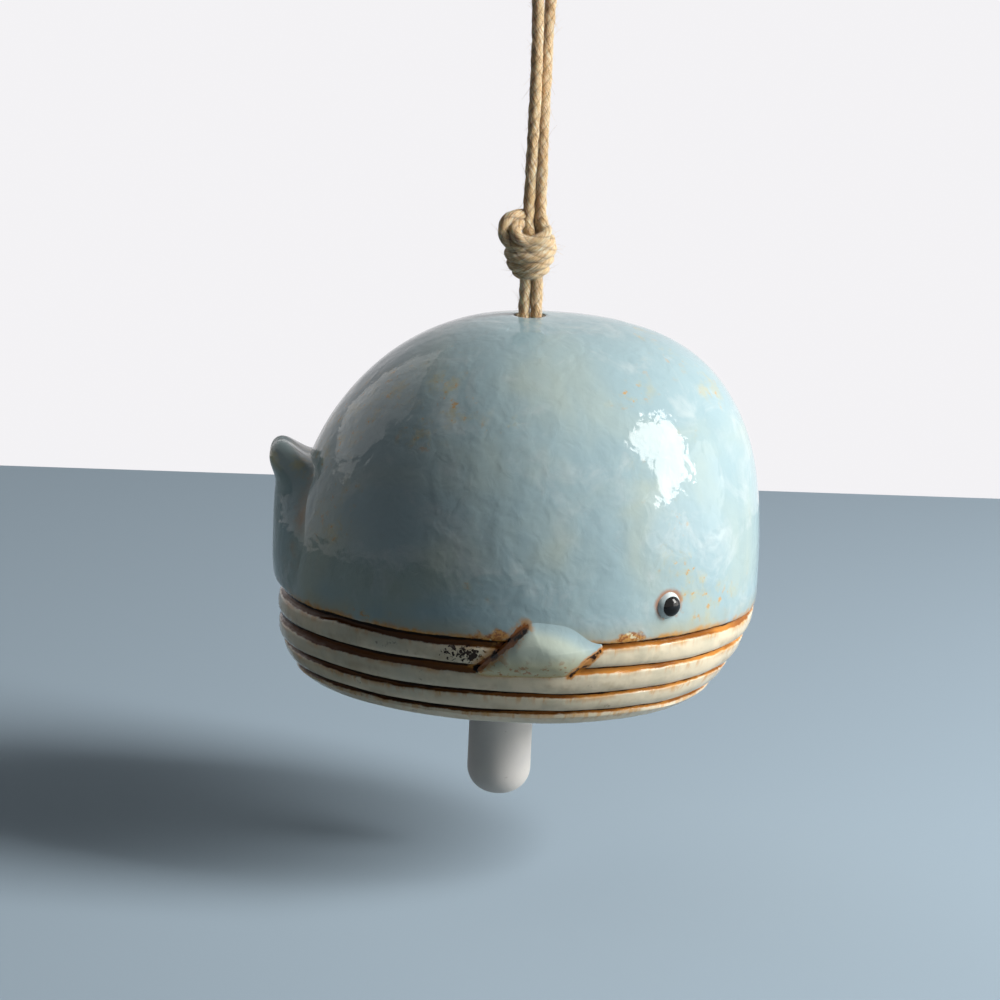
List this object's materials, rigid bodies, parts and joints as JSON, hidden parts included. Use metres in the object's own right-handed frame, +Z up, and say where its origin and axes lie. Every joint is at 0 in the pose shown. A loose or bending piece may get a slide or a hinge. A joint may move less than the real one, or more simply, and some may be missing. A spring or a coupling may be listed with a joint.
{
  "type": "whale bell",
  "caption": "Hanging glazed ceramic bell shaped as a rounded whale, with a pleated belly, tail, flippers and eyes, a porcelain clapper, and a doubled jute cord knotted above and inside it.",
  "frame": {"origin": "the point inside the top of the cord's loop that bears on the hook", "axes": "+Z up along the hanging cord, +X to the whale's nose, +Y to the whale's left side"},
  "size_m": [0.1155, 0.1082, 0.1978],
  "materials": {
    "blue_glaze": "gloss",
    "pale_glaze": "gloss",
    "black_glaze": "gloss",
    "jute": "matte",
    "porcelain": "matte"
  },
  "bodies": {
    "loop": {"hanging_loop": "jute"},
    "knot": {"outer_knot": "jute"},
    "neck": {"neck_cord": "jute", "inner_knot": "jute"},
    "bell": {"bell_shell": "blue_glaze", "tail": "blue_glaze", "right_flipper": "blue_glaze", "left_flipper": "blue_glaze", "right_eye": "pale_glaze", "left_eye": "pale_glaze", "right_pupil": "black_glaze", "left_pupil": "black_glaze"},
    "sling": {"clapper_cord": "jute"},
    "striker": {"clapper": "porcelain"}
  },
  "joints": [
    {"name": "cord_sway", "type": "hinge", "parent": "loop", "child": "knot", "pos_m": [0, 0, -0.0638], "axis": [1, 0, 0], "range_deg": [-20, 20]},
    {"name": "cord_pitch", "type": "hinge", "parent": "knot", "child": "neck", "pos_m": [0, 0, -0.0638], "axis": [0, 1, 0], "range_deg": [-20, 20]},
    {"name": "bell_turn", "type": "hinge", "parent": "neck", "child": "bell", "pos_m": [0, 0, -0.08], "axis": [0, 0, 1], "continuous": true},
    {"name": "clapper_swing", "type": "hinge", "parent": "neck", "child": "sling", "pos_m": [0, 0, -0.0913], "axis": [1, 0, 0], "range_deg": [-19, 19]},
    {"name": "clapper_rock", "type": "hinge", "parent": "sling", "child": "striker", "pos_m": [-0.0024, 0, -0.1425], "axis": [0, 1, 0], "range_deg": [-12, 12]}
  ]
}
